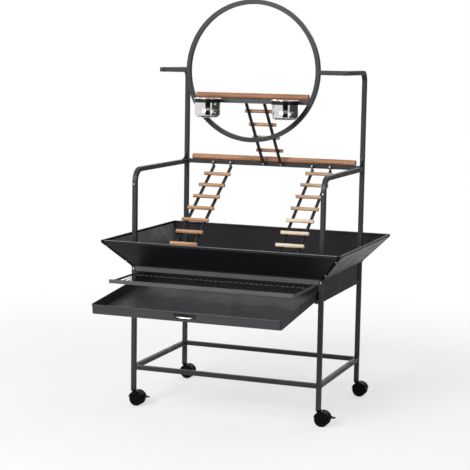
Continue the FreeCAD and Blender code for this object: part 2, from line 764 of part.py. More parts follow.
def cup_holder(name, right):
    """A band that a cup drops into, with a pad against the bar."""
    outside = cylinder("band_outside", band_outer, holder_height)
    block = box("pad_block", holder_pad, band_outer + holder_reach, holder_height)
    stand_at(block, -(holder_pad / 2))
    solid = fuse("band_and_pad", [outside, block])
    hole = cylinder("cup_hole", cup_radius + seat_gap, holder_height)
    band = combine("Cut", "band", solid, hole)
    place(band, right * cup_spacing / 2, cup_y, holder_top - holder_height)
    node(band, f"cup_holder_{name}")


def cup(name, right):
    """A turned cup with a bevelled foot, a thin wall and a flat rim that rests on its band."""
    body = new_body(f"cup_{name}")
    section = sketch(body, "XZ_Plane")
    foot = cup_radius - cup_bevel
    inner = cup_radius - cup_wall
    rim = cup_radius + cup_rim
    polygon(section, [
        (0, 0), (foot, 0), (cup_radius, cup_bevel), (cup_radius, cup_depth - cup_wall),
        (rim, cup_depth - cup_wall), (rim, cup_depth), (inner, cup_depth),
        (inner, cup_bevel + cup_wall / 2), (foot - cup_wall / 2, cup_wall), (0, cup_wall),
    ])
    turned(body, section)
    z = holder_top + seat_gap + cup_wall - cup_depth
    node(place(body, right * cup_spacing / 2, cup_y, z), f"cup_{name}")


# Tray and grate ------------------------------------------------------------------------------------


def droop(piece):
    """Set a tray piece on its rollers, tilted as it hangs when pulled out."""
    return lean(place(piece, 0, roller_y, roller_z), RIGHTWARD, tray_droop_angle)


def pull_outline(drawing, inset):
    """The long oval of the finger pull, drawn smaller by inset."""
    half_length = pull_length / 2 - inset
    half_height = pull_height / 2 - inset
    middle = tray_top - pull_drop
    rounded(drawing, pull_offset - half_length, pull_offset + half_length,
            middle - half_height, middle + half_height, half_height - pull_flat / 2)


def tray():
    """A folded tray with round corners, a hem and a hole for its finger pull."""
    body = new_body("tray")
    wide = tray_width / 2 - hem_wall
    front = hem_wall - tray_front
    back = tray_length - tray_front - hem_wall
    floor = sketch(body, lift=tray_bottom)
    rounded(floor, -wide, wide, front, back, tray_round)
    pad(body, floor, tray_depth)
    inside = sketch(body, lift=tray_top)
    rounded(inside, sheet_wall - wide, wide - sheet_wall, front + sheet_wall, back - sheet_wall,
            tray_round - sheet_wall)
    pocket(body, inside, tray_depth - sheet_wall)
    hem = sketch(body, lift=tray_top - hem_height)
    rounded(hem, -(wide + hem_wall), wide + hem_wall, front - hem_wall, back + hem_wall,
            tray_round + hem_wall)
    rounded(hem, -wide, wide, front, back, tray_round)
    pad(body, hem, hem_height)
    hole = sketch(body, "XZ_Plane", lift=-front)
    pull_outline(hole, 0)
    pocket(body, hole, 2 * sheet_wall)
    node(droop(body), "tray")


def tray_pull():
    """The dish behind the finger pull's hole."""
    body = new_body("tray_pull")
    front = tray_front - hem_wall
    dish = sketch(body, "XZ_Plane", lift=front - pull_depth)
    pull_outline(dish, 0)
    pad(body, dish, pull_depth)
    hollow = sketch(body, "XZ_Plane", lift=front)
    pull_outline(hollow, pull_wall)
    pocket(body, hollow, pull_depth - pull_wall)
    node(droop(body), "tray_pull")


def tray_rollers():
    """Two rollers at the front of the tray's ledges, and the headed pins they turn on."""
    rollers = []
    pins = []
    near = in_x - seat_gap - roller_width
    length = roller_width + 2 * seat_gap
    for name, right in SIDES:
        x = near if right > 0 else -(near + roller_width)
        wheel = cylinder(f"roller_{name}", roller_radius, roller_width)
        bore = cylinder(f"roller_bore_{name}", roller_pin + turn_gap, roller_width)
        solid = combine("Cut", f"roller_turned_{name}", wheel, bore)
        rollers.append(stand_at(solid, x, 0, 0, ALONG["x"]))
        x = in_x - length if right > 0 else -in_x
        shank = stand_at(cylinder(f"shank_{name}", roller_pin, length), x, 0, 0, ALONG["x"])
        x = in_x - length - pin_head if right > 0 else -(in_x - length)
        cap = cylinder(f"cap_{name}", roller_pin + pin_head, pin_head)
        stand_at(cap, x, 0, 0, ALONG["x"])
        pins.append(fuse(f"pin_{name}", [shank, cap]))
    node(place(group("tray_rollers", rollers), 0, roller_y, roller_z), "tray_rollers")
    return [stand_at(pin, 0, roller_y, roller_z) for pin in pins]


def grate():
    """A frame of flat bars with lengthwise wires that lie on cross rods."""
    half = grate_width / 2
    bars = [
        stand_at(box("front_bar", grate_width, grate_bar_wall, grate_front_bar), -half),
        stand_at(box("rear_bar", grate_width - 2 * grate_bar_wall, grate_bar_wall, grate_bar),
                 grate_bar_wall - half, grate_length - grate_bar_wall),
    ]
    for name, start in (("left", -half), ("right", half - grate_bar_wall)):
        bar = box(f"bar_{name}", grate_bar_wall, grate_length - grate_bar_wall, grate_bar)
        bars.append(stand_at(bar, start, grate_bar_wall))
    front = -(out_y + seat_gap + grate_bar_wall + grate_out)
    z = grate_rest + seat_gap
    node(place(group("grate_frame", bars), 0, front, z), "grate_frame")
    wires = []
    rod_z = rod_radius + seat_gap
    wire_z = rod_z + rod_radius + wire_radius
    for index in range(-WIRES_EACH_SIDE, WIRES_EACH_SIDE + 1):
        wire = cylinder("wire", wire_radius, grate_length - 2 * grate_bar_wall)
        wires.append(stand_at(wire, index * wire_pitch, grate_length - grate_bar_wall, wire_z,
                              ALONG["y"]))
    for index in range(RODS):
        rod = cylinder("rod", rod_radius, grate_width - 2 * grate_bar_wall)
        y = (index + 1) * rod_pitch
        wires.append(stand_at(rod, grate_bar_wall - half, y, rod_z, ALONG["x"]))
    node(place(group("grate_wires", wires), 0, front, z), "grate_wires")


# Ladders -------------------------------------------------------------------------------------------

eye_y = in_y - eye_reach
pin_radius = eye_radius - eye_wire - turn_gap


def ladder(name, x, drop, first, last, count, down, rest_y, rest_z):
    """Two rails with rungs on top, drawn level to the front of their hook pins, then leaned.

    The first rung's middle lies that far from the pins, the last one's from the rails' end.

    The rails run drop below the pins and end where their lower edge meets rest_y, rest_z, which
    lies below the pins when down is 1 and above them when it is -1.
    """
    run = eye_y - rest_y
    fall = down * (crossbar_height - rest_z)
    below = drop + rail_depth / 2
    span = root(run * run + fall * fall)
    reach = root(span * span - below * below)
    angle = arctangent(fall / run)
    angle = angle - arcsine(below / span) if down > 0 else angle + arcsine(below / span)
    start = rail_start if down > 0 else hook_length
    low = rail_depth / 2 - drop if down > 0 else -hook_top
    inner = eye_wire + seat_gap
    rails = []
    hooks = []
    for side, right in SIDES:
        middle = right * ladder_spacing / 2
        rail = box(f"rail_{side}", rail_width, reach - start, rail_depth)
        rails.append(stand_at(rail, middle - rail_width / 2, -reach, -below))
        pin = cylinder("hook_pin", pin_radius, 2 * (inner + hook_wall))
        solids = [stand_at(pin, middle - inner - hook_wall, 0, 0, ALONG["x"])]
        for cheek, outward in SIDES:
            plate = box(f"cheek_{cheek}", hook_wall, hook_length + hook_top, hook_top - low)
            edge = middle + inner if outward > 0 else middle - inner - hook_wall
            solids.append(stand_at(plate, edge, -hook_length, low))
        hooks.append(fuse(f"hook_{side}", solids))
    rungs = []
    pitch = (reach - first - last) / (count - 1)
    for index in range(count):
        rung = cylinder("rung", rung_radius, rung_length)
        y = -(first + index * pitch)
        z = rail_depth / 2 + rung_radius - drop
        rungs.append(stand_at(rung, -(rung_length / 2), y, z, ALONG["x"]))
    axis = RIGHTWARD if down > 0 else LEFTWARD
    for kind, solids in (("rails", rails), ("rungs", rungs), ("hooks", hooks)):
        label = f"{name}_ladder_{kind}"
        piece = place(group(label, solids), x, eye_y, crossbar_height)
        node(lean(piece, axis, angle), label)


def screw_eyes():
    """Eyes in the crossbar's front face that the ladders hang on, bent from eight-sided wire."""
    eyes = []
    corners = []
    for index in range(EYE_SIDES):
        angle = as_size(FULL_TURN * (index + 0.5) / EYE_SIDES)
        corners.append((eye_radius + eye_wire * cosine(angle), eye_wire * sine(angle)))
    for middle in (-ladder_x, top_ladder_x, ladder_x):
        for side, right in SIDES:
            x = middle + right * ladder_spacing / 2
            loop = new_body("eye_loop")
            section = sketch(loop, "XZ_Plane")
            polygon(section, corners)
            turned(loop, section)
            stand_at(loop, x, eye_y, crossbar_height, ALONG["x"])
            shank = cylinder("eye_shank", eye_wire, eye_reach - eye_radius)
            stand_at(shank, x, eye_y + eye_reach, crossbar_height, ALONG["y"])
            eyes.append(fuse("eye", [loop, shank]))
    return eyes


# Casters -------------------------------------------------------------------------------------------


def caster_plugs():
    """A plug in the foot of each leg with a flange under it, and a swivel stem."""
    plugs = []
    inner = tube - 2 * tube_wall
    z = leg_bottom - plug_flange
    for end, back in ENDS:
        for side, right in SIDES:
            x = right * leg_x
            y = back * leg_y
            core = box("plug", inner, inner, plug_length)
            stand_at(core, x - inner / 2, y - inner / 2, leg_bottom)
            flange = box("flange", tube, tube, plug_flange)
            stand_at(flange, x - half_tube, y - half_tube, z)
            plugs.append(fuse("plug_and_flange", [core, flange]))
            plugs.append(stand_at(cylinder("stem", stem_radius, stem_length), x, y, z - stem_length))
    node(place(group("caster_plugs", plugs)), "caster_plugs")


def caster_frame(braked):
    """Hood, web and axle of one caster, drawn about its stem; a braked one has ears and a pin."""
    pair = caster_web + 2 * (seat_gap + wheel_width)
    hood_inner = wheel_radius + hood_gap
    hood_outer = hood_inner + hood_wall
    boss_top = leg_bottom - plug_flange - seat_gap

    def across(name, radius, width):
        solid = cylinder(name, radius, width)
        return stand_at(solid, caster_trail, width / 2, wheel_radius, ALONG["y"])

    shell = combine("Cut", "hood_shell", across("hood_outer", hood_outer, pair),
                    across("hood_inner", hood_inner, pair))
    upper = stand_at(box("hood_upper", 2 * hood_outer, pair, hood_outer),
                     caster_trail - hood_outer, -(pair / 2), wheel_radius + hood_drop)
    hood = combine("Common", "hood", shell, upper)
    slab = box("web_slab", 2 * hood_inner, caster_web, hood_inner + web_drop)
    stand_at(slab, caster_trail - hood_inner, -(caster_web / 2), wheel_radius - web_drop)
    web = combine("Common", "web", across("web_disc", hood_inner + hood_wall / 2, caster_web), slab)
    boss = stand_at(cylinder("boss", boss_radius, boss_height), 0, 0, boss_top - boss_height)
    collar = combine("Cut", "collar", boss, across("boss_limit", hood_inner, pair))
    solids = [hood, web, across("axle", axle_radius, pair - 2 * wheel_dish), collar]
    if braked:
        pin_x, pin_z = brake_place()
        edge = brake_width / 2 + seat_gap
        for side, outward in SIDES:
            ear = box(f"ear_{side}", brake_reach + ear_sink, brake_ear, 2 * brake_ear)
            y = edge if outward > 0 else -(edge + brake_ear)
            start = pin_x + brake_ear - brake_reach - ear_sink
            solids.append(stand_at(ear, start, y, pin_z - brake_ear))
        pin = cylinder("brake_pin", brake_pin, 2 * (edge + brake_ear))
        solids.append(stand_at(pin, pin_x, edge + brake_ear, pin_z, ALONG["y"]))
    hole = cylinder("stem_hole", stem_radius + turn_gap, leg_bottom)
    stand_at(hole, 0, 0, leg_bottom - plug_flange - stem_length - seat_gap)
    return combine("Cut", "caster_frame", fuse("caster_solid", solids), hole)


def brake_place():
    """Where the brake pin lies, out from the stem and up from the floor."""
    lean_out = wheel_radius + hood_gap + hood_wall + brake_reach
    return caster_trail + lean_out, wheel_radius + hood_drop + brake_ear


def caster_wheel(name, outward):
    """One wheel with bevelled tread edges and a shallow dish round its hub."""
    body = new_body(name)
    section = sketch(body, "XZ_Plane")
    bore = axle_radius + turn_gap
    tread = wheel_radius - wheel_bevel
    bed = wheel_width - wheel_dish
    face = wheel_width - wheel_dish / 2
    polygon(section, [
        (bore, 0), (tread, 0), (wheel_radius, wheel_bevel),
        (wheel_radius, wheel_width - wheel_bevel), (tread, wheel_width),
        (dish_radius, wheel_width), (dish_radius - wheel_dish, bed), (hub_radius, bed),
        (hub_radius - wheel_dish / 2, face), (bore, face),
    ])
    turned(body, section)
    y = outward * (caster_web / 2 + seat_gap)
    turn = FreeCAD.Rotation(RIGHTWARD, -90 * outward)
    return stand_at(body, caster_trail, y, wheel_radius, turn)


def caster(name, right, back, braked):
    """A hooded twin-wheel caster that swivels on its stem, with a brake pedal if braked."""
    x = right * leg_x
    y = back * leg_y
    node(place(caster_frame(braked), x, y), f"caster_body_{name}")
    wheels = [caster_wheel(f"wheel_{side}", outward) for side, outward in SIDES]
    node(place(group(f"wheels_{name}", wheels), x, y), f"wheels_{name}")
    if braked:
        barrel = cylinder("barrel", 2 * brake_pin, brake_width)
        stand_at(barrel, 0, brake_width / 2, 0, ALONG["y"])
        plate = box("pedal", brake_length, brake_width, brake_wall)
        stand_at(plate, 0, -(brake_width / 2), -(brake_wall / 2))
        bore = cylinder("pedal_bore", brake_pin + turn_gap, brake_width)
        stand_at(bore, 0, brake_width / 2, 0, ALONG["y"])
        pedal = combine("Cut", "pedal_bored", fuse("pedal_solid", [barrel, plate]), bore)
        pin_x, pin_z = brake_place()
        node(place(pedal, x + pin_x, y, pin_z), f"brake_pedal_{name}")


# Build -----------------------------------------------------------------------------------------------

legs_and_lower_rails()
arches_and_posts()
arm_gussets()
crossbar_and_perch()
hoop()
housing()
skirts()
corner_plates()
for side_name, side_sign in SIDES:
    cup_holder(side_name, side_sign)
    cup(side_name, side_sign)
tray()
tray_pull()
roller_pins = tray_rollers()
grate()
rail_edge = seat_gap - in_y
rail_rest = housing_top + seat_gap
ladder("left", -ladder_x, ladder_drop, rung_first_left, rung_last_left, SIDE_RUNGS, 1,
       rail_edge, rail_rest)
ladder("right", ladder_x, ladder_drop, rung_first_right, rung_last_right, SIDE_RUNGS, 1,
       rail_edge, rail_rest)
ladder("top", top_ladder_x, as_size(0), rung_first_top, rung_last_top, TOP_RUNGS, -1,
       ring_y + half_tube + seat_gap, ring_bar_height - top_ladder_rest)
node(place(group("fittings", screw_heads() + screw_eyes() + roller_pins)), "fittings")
caster_plugs()
for end_name, end_sign in ENDS:
    for side_name, side_sign in SIDES:
        caster(f"{end_name}_{side_name}", side_sign, end_sign, end_sign < 0)

doc.recompute()
for item in doc.Objects:
    if any(word in item.State for word in ("Invalid", "Error")):
        raise RuntimeError(f"{item.Label} did not compute: {item.State}")
os.makedirs("parts", exist_ok=True)
for piece in NODES:
    if piece.Shape.isNull() or not piece.Shape.isValid():
        raise RuntimeError(f"{piece.Label} has no valid shape")
    piece.Shape.exportStep(f"parts/{piece.Label}.step")
print(f"{len(NODES)} sub-parts")
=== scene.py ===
import json
import math

import bmesh
import bpy
import numpy
from mathutils import Matrix, Vector


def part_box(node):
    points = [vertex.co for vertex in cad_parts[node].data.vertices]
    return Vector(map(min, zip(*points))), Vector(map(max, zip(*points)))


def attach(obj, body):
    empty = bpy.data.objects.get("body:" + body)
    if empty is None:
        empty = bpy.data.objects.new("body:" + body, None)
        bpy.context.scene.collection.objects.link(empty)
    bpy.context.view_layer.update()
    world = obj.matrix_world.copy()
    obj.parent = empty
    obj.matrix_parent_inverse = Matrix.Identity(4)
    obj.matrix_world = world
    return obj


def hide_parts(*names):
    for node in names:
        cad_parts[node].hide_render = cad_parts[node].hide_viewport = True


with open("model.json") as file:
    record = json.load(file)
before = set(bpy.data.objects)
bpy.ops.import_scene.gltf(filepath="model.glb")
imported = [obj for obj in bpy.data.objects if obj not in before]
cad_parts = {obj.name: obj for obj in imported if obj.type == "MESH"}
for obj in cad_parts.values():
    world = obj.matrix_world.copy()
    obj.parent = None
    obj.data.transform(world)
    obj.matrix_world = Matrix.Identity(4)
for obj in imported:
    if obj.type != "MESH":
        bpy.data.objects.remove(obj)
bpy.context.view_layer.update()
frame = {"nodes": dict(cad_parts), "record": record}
nodes = frame["nodes"]


# Materials ---------------------------------------------------------------------------------------


def add_node(tree, kind, inputs=None):
    """A new shader node with numbers or colours set on its inputs."""
    node = tree.nodes.new(kind)
    for name, value in (inputs or {}).items():
        node.inputs[name].default_value = value
    return node


def new_material(name):
    """A node material whose principled shader is joined to its output."""
    material = bpy.data.materials.new(name)
    material.use_nodes = True
    tree = material.node_tree
    tree.nodes.clear()
    shader = add_node(tree, "ShaderNodeBsdfPrincipled")
    output = add_node(tree, "ShaderNodeOutputMaterial")
    tree.links.new(shader.outputs["BSDF"], output.inputs["Surface"])
    return material, tree, shader


def noise(tree, scale, detail=3.0, stretch=(1, 1, 1)):
    """Noise over the object's own coordinates, finer along an axis that is stretched more."""
    place = add_node(tree, "ShaderNodeTexCoord")
    mapping = add_node(tree, "ShaderNodeMapping", {"Scale": stretch})
    texture = add_node(tree, "ShaderNodeTexNoise", {"Scale": scale, "Detail": detail})
    tree.links.new(place.outputs["Object"], mapping.inputs["Vector"])
    tree.links.new(mapping.outputs["Vector"], texture.inputs["Vector"])
    return texture.outputs["Fac"]


def spread(tree, source, low=0.0, high=1.0, start=0.3, end=0.7):
    """A source's range from start to end, spread from low to high and cut off beyond."""
    ends = {"From Min": start, "From Max": end, "To Min": low, "To Max": high}
    ramp = add_node(tree, "ShaderNodeMapRange", ends)
    tree.links.new(source, ramp.inputs["Value"])
    return ramp.outputs["Result"]


def blended(tree, amount, first, second):
    """One colour turning into another; each is a colour or another node's output."""
    mix = tree.nodes.new("ShaderNodeMix")
    mix.data_type = "RGBA"
    tree.links.new(amount, mix.inputs["Factor"])
    for value, socket in ((first, mix.inputs["A"]), (second, mix.inputs["B"])):
        if isinstance(value, tuple):
            socket.default_value = (*value, 1)
        else:
            tree.links.new(value, socket)
    return mix.outputs["Result"]


def mixed(tree, amount, first, second):
    """One shader turning into another."""
    mix = add_node(tree, "ShaderNodeMixShader")
    for source, socket in ((amount, "Fac"), (first, 1), (second, 2)):
        tree.links.new(source, mix.inputs[socket])
    return mix.outputs["Shader"]


def shade(color, amount):
    """A colour made darker or lighter."""
    return tuple(part * amount for part in color)


def surface(tree, shader, color, rough):
    """Join a colour and a roughness to a shader."""
    tree.links.new(color, shader.inputs["Base Color"])
    tree.links.new(rough, shader.inputs["Roughness"])


def relief(tree, shader, source, strength, distance):
    """Surface relief from a texture."""
    bump = add_node(tree, "ShaderNodeBump", {"Strength": strength, "Distance": distance})
    tree.links.new(source, bump.inputs["Height"])
    tree.links.new(bump.outputs["Normal"], shader.inputs["Normal"])


def coat(name, color, rough=0.42, gloss=0.3):
    """Satin powder coat: fine orange peel, faint clouds, fine pale specks and a few pale scuffs."""
    material, tree, shader = new_material(name)
    clouds = spread(tree, noise(tree, scale=7.0))
    specks = spread(tree, noise(tree, scale=330, detail=2.0), high=0.5, start=0.46, end=0.74)
    scuffs = spread(tree, noise(tree, scale=46.0, detail=8.0), high=0.5, start=0.68, end=0.76)
    cloudy = blended(tree, clouds, shade(color, 0.86), shade(color, 1.16))
    speckled = blended(tree, specks, cloudy, shade(color, 1.9))
    scuffed = blended(tree, scuffs, speckled, tuple(part * 1.5 + 0.012 for part in color))
    wear = noise(tree, scale=18.0, detail=5.0)
    surface(tree, shader, scuffed, spread(tree, wear, rough - 0.06, rough + 0.08))
    shader.inputs["Specular IOR Level"].default_value = gloss
    relief(tree, shader, noise(tree, scale=700, detail=2.0), strength=0.14, distance=0.0003)
    return material


def metal(name, color, rough, stretch=(1, 1, 1), grain=300, dull=0.72, lift=0.05):
    """Bare metal: duller patches in its colour and fine lines in its gloss."""
    material, tree, shader = new_material(name)
    patches = spread(tree, noise(tree, scale=60, detail=4.0))
    lines = noise(tree, scale=grain, detail=4.0, stretch=stretch)
    patched = blended(tree, patches, shade(color, dull), color)
    surface(tree, shader, patched, spread(tree, lines, rough * 0.75, rough * 1.35))
    shader.inputs["Metallic"].default_value = 1.0
    relief(tree, shader, lines, strength=lift, distance=0.0001)
    return material


def plastic(name, color, rough, gloss=0.3):
    """Moulded plastic with a faint texture and slightly worn patches."""
    material, tree, shader = new_material(name)
    worn = spread(tree, noise(tree, scale=35, detail=5.0))
    patched = blended(tree, worn, shade(color, 0.85), shade(color, 1.3))
    wear = noise(tree, scale=90, detail=3.0)
    surface(tree, shader, patched, spread(tree, wear, rough - 0.06, rough + 0.06))
    shader.inputs["Specular IOR Level"].default_value = gloss
    relief(tree, shader, noise(tree, scale=1100, detail=2.0), strength=0.1, distance=0.0002)
    return material


def wood(name, light, dark):
    """Turned wood whose grain runs along x, with darker streaks and fine pores."""
    rough = 0.6
    material, tree, shader = new_material(name)
    streaks = noise(tree, scale=3.0, detail=7.0, stretch=(3.0, 46.0, 46.0))
    pores = noise(tree, scale=8.0, detail=4.0, stretch=(14.0, 260.0, 260.0))
    worn = spread(tree, noise(tree, scale=12.0), high=0.3)
    dots = spread(tree, pores, high=0.55, start=0.6, end=0.74)
    grain = blended(tree, spread(tree, streaks, start=0.36, end=0.66), dark, light)
    porous = blended(tree, dots, grain, shade(dark, 0.6))
    rubbed = blended(tree, worn, porous, shade(light, 1.1))
    surface(tree, shader, rubbed, spread(tree, streaks, rough - 0.06, rough + 0.1))
    shader.inputs["Specular IOR Level"].default_value = 0.25
    relief(tree, shader, pores, strength=0.3, distance=0.0005)
    return material


FINISH = {
    "frame_black": coat("frame_coat", (0.022, 0.023, 0.025), rough=0.4),
    "panel_black": coat("panel_coat", (0.0145, 0.0145, 0.0142), rough=0.46, gloss=0.2),
    "skirt_black": coat("skirt_coat", (0.0105, 0.0105, 0.012), rough=0.44, gloss=0.16),
    "corner_black": coat("corner_coat", (0.0022, 0.0022, 0.0022), rough=0.5, gloss=0.06),
    "holder_black": coat("holder_coat", (0.004, 0.004, 0.004), rough=0.35, gloss=0.25),
    "grate_black": coat("grate_coat", (0.086, 0.089, 0.093), rough=0.4),
    "wire_steel": coat("wire_coat", (0.016, 0.0165, 0.018), rough=0.4),
    "tray_black": coat("tray_coat", (0.031, 0.033, 0.0355)),
    "pull_steel": metal("pull_metal", (0.62, 0.61, 0.58), rough=0.28,
                        stretch=(4, 1, 1), grain=30, lift=0.01),
    "bright_steel": metal("zinc", (0.66, 0.66, 0.68), rough=0.3),
    "cup_steel": metal("cup_metal", (0.74, 0.73, 0.72), rough=0.1,
                       stretch=(1, 1, 30), grain=14, dull=0.85, lift=0.02),
    "perch_wood": wood("perch_grain", light=(0.60, 0.31, 0.175), dark=(0.36, 0.165, 0.085)),
    "ladder_rail_black": coat("rail_coat", (0.010, 0.010, 0.011), rough=0.38),
    "left_rung_wood": wood("rung_grain", light=(0.62, 0.36, 0.21), dark=(0.36, 0.18, 0.095)),
    "right_rung_wood": wood("rung_grain_pale", light=(0.60, 0.42, 0.28), dark=(0.38, 0.22, 0.12)),
    "top_rung_wood": wood("rung_grain_top", light=(0.60, 0.35, 0.23), dark=(0.36, 0.18, 0.11)),
    "roller_plastic": plastic("roller_nylon", (0.05, 0.05, 0.05), rough=0.5),
    "caster_black": plastic("caster_nylon", (0.0016, 0.0016, 0.0016), rough=0.42, gloss=0.06),
    "wheel_plastic": plastic("wheel_nylon", (0.0022, 0.0022, 0.0024), rough=0.52, gloss=0.07),
    "brake_plastic": plastic("brake_nylon", (0.005, 0.005, 0.0055), rough=0.44, gloss=0.18),
}
SLOT_OF = {part["node"]: part["material_slot"] for part in frame["record"]["subparts"]}
# Lit and shaded copies of their slot's finish: a lighter copy is painted light and a darker copy is
# painted shade.
LIT_AND_SHADED_COPIES = {
    # Painted shade: the left skirt is darker than the front and back skirts.
    "skirt_left": coat("skirt_coat_left_painted_shade", (0.0065, 0.0065, 0.0075), rough=0.46, gloss=0.12),
    # Painted light: the right skirt's outer face is lighter where light falls on it.
    "skirt_right": coat("skirt_coat_right_painted_light", (0.044, 0.044, 0.045)),
    # Painted light: the front rail is lighter than the rest of the frame where light falls on its
    # front face.
    "housing_front_rail": coat("rail_front_painted_light_coat", (0.074, 0.077, 0.081), rough=0.4),
    # Painted light: the hoop's bar is lighter than the rest of the frame where light falls on it.
    "ring_bar": coat("bar_painted_light_coat", (0.058, 0.059, 0.062), rough=0.4),
    # Painted shade: the finger pull's dish is darker than the tray, for the shade in its hollow.
    "tray_pull": coat("pull_dish_painted_shade_coat", (0.026, 0.027, 0.028), rough=0.5, gloss=0.15),
}
for name, obj in nodes.items():
    obj.data.materials.clear()
    obj.data.materials.append(LIT_AND_SHADED_COPIES.get(name, FINISH[SLOT_OF[name]]))


# Meshes ------------------------------------------------------------------------------------------


def added(name, data):
    """A new object in the scene."""
    obj = bpy.data.objects.new(name, data)
    bpy.context.collection.objects.link(obj)
    return obj


def piece(name, mesh, body, slot, gone=(), finish=None):
    """Finish a mesh as a smooth piece that rides on a body and may stand for CAD nodes."""
    data = bpy.data.meshes.new(name)
    bmesh.ops.recalc_face_normals(mesh, faces=mesh.faces)
    mesh.to_mesh(data)
    mesh.free()
    for face in data.polygons:
        face.use_smooth = True
    data.set_sharp_from_angle(angle=math.radians(38))
    obj = added(name, data)
    data.materials.append(finish or FINISH[slot])
    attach(obj, body)
    if gone:
        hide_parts(*gone)
    return obj


def loft(mesh, rings, closed=False, capped=False):
    """Join rings of points, all of one count, into a skin."""
    rows = [[mesh.verts.new(point) for point in ring] for ring in rings]
    last = len(rows) if closed else len(rows) - 1
    for index in range(last):
        here, there = rows[index], rows[(index + 1) % len(rows)]
        for step in range(len(here)):
            after = (step + 1) % len(here)
            mesh.faces.new((here[step], here[after], there[after], there[step]))
    if capped:
        mesh.faces.new(rows[0])
        mesh.faces.new(rows[-1])


def circle(centre, side, over, radius, sides):
    """Points round a centre, in the plane of two directions."""
    turns = [2 * math.pi * step / sides for step in range(sides)]
    return [centre + (side * math.cos(t) + over * math.sin(t)) * radius for t in turns]


def axes_of(direction):
    """Two directions square to one another and to the one given."""
    direction = Vector(direction).normalized()
    side = direction.orthogonal().normalized()
    return side, direction.cross(side)


def axes_along(direction):
    """Two directions square to a path's own, steady from one point to the next."""
    up = Vector((0, 0, 1)) if abs(direction.z) < 0.9 else Vector((0.6, 0.8, 0))
    side = direction.cross(up).normalized()
    return side, side.cross(direction)


def turned(mesh, start, direction, profile, sides, capped=True):
    """A turned form: (distance along, radius) pairs spun about a line."""
    direction = Vector(direction).normalized()
    side, over = axes_of(direction)
    rings = [circle(Vector(start) + direction * along, side, over, radius, sides)
             for along, radius in profile]
    loft(mesh, rings, capped=capped)


def bead(mesh, path, radius, sides=8, ripple=0.0, waves=0, closed=True):
    """A round bead along a path, which may be thicker and thinner in waves as a weld is."""
    rings = []
    count = len(path)
    for index, point in enumerate(path):
        before = path[index - 1] if closed or index else point
        after = path[(index + 1) % count] if closed or index < count - 1 else point
        side, over = axes_along((after - before).normalized())
        size = radius * (1 + ripple * math.sin(2 * math.pi * waves * index / count))
        rings.append(circle(point, side, over, size, sides))
    loft(mesh, rings, closed=closed, capped=not closed)


def down_middle(low, high, axis, steps):
    """Evenly spaced points down the middle of a box, along one of its axes."""
    path = []
    for step in range(steps + 1):
        point = (low + high) / 2
        point[axis] = low[axis] + (high[axis] - low[axis]) * step / steps
        path.append(point)
    return path


def square_path(centre, normal, half, radius, steps):
    """Points round a square tube's outside with its round corners, in the plane across an axis."""
    side, over = (Vector(axis) for axis in ACROSS[normal])
    points = []
    flat = half - radius
    for quarter in range(4):
        turn = math.pi / 2 * quarter
        ahead = Vector((math.cos(turn), math.sin(turn)))
        left = Vector((-ahead.y, ahead.x))
        for step in range(steps):
            points.append(ahead * half + left * (flat * (2 * step / steps - 1)))
        for step in range(3):
            angle = turn + math.pi / 6 * (step + 0.5)
            corner = (ahead + left) * flat
            points.append(corner + Vector((math.cos(angle), math.sin(angle))) * radius)
    return [Vector(centre) + side * point.x + over * point.y for point in points]


def shells(node):
    """The separate closed forms in a CAD node, each as its points."""
    mesh = bmesh.new()
    mesh.from_mesh(nodes[node].data)
    bmesh.ops.remove_doubles(mesh, verts=mesh.verts, dist=1e-5)
    found, seen = [], set()
    for first in mesh.verts:
        if first in seen:
            continue
        seen.add(first)
        waiting, points = [first], []
        while waiting:
            vertex = waiting.pop()
            points.append(vertex.co.copy())
            for edge in vertex.link_edges:
                other = edge.other_vert(vertex)
                if other not in seen:
                    seen.add(other)
                    waiting.append(other)
        found.append(points)
    mesh.free()
    return found


def limits(points):
    """The lowest and highest corner of some points."""
    low = Vector([min(point[axis] for point in points) for axis in range(3)])
    high = Vector([max(point[axis] for point in points) for axis in range(3)])
    return low, high


# Pieces ------------------------------------------------------------------------------------------

# Metres: x runs to the right as the stand is seen from its front, y to its back and z up.
ACROSS = {
    "x": ((0, 1, 0), (0, 0, 1)),
    "y": ((1, 0, 0), (0, 0, 1)),
    "z": ((1, 0, 0), (0, 1, 0)),
}
HALF_TUBE = 0.0095
TUBE_ROUND = 0.002
# The legs' middles, and the plane of the hoop halfway between them.
LEG_X = 0.408
FRONT_Y, BACK_Y = -0.109905, 0.438095
HOOP_Y = 0.1641
# Heights of the tubes' middles, and of the joint where each back post goes on above its leg.
LOWER_RAIL_Z, SIDE_ARM_Z, CROSSBAR_Z, TOP_ARM_Z = 0.162, 0.994, 0.997, 1.404
POST_JOINT_Z = 1.0455
# The tray's own place: it tilts about the rollers at the front of its ledges, which lie just
# inside the legs' outer faces.
LEGS_OUTSIDE = 0.2835
ROLLER_RADIUS, ROLLER_Z = 0.006, 0.5011
TRAY_TILT = math.radians(5.8)
TRAY_ORIGIN = (0, HOOP_Y - LEGS_OUTSIDE + ROLLER_RADIUS, ROLLER_Z)
TRAY = Matrix.Translation(TRAY_ORIGIN) @ Matrix.Rotation(TRAY_TILT, 4, "X")
# Rungs of the right ladder that lie lower than this are bare wood.
BARE_BELOW = 0.80


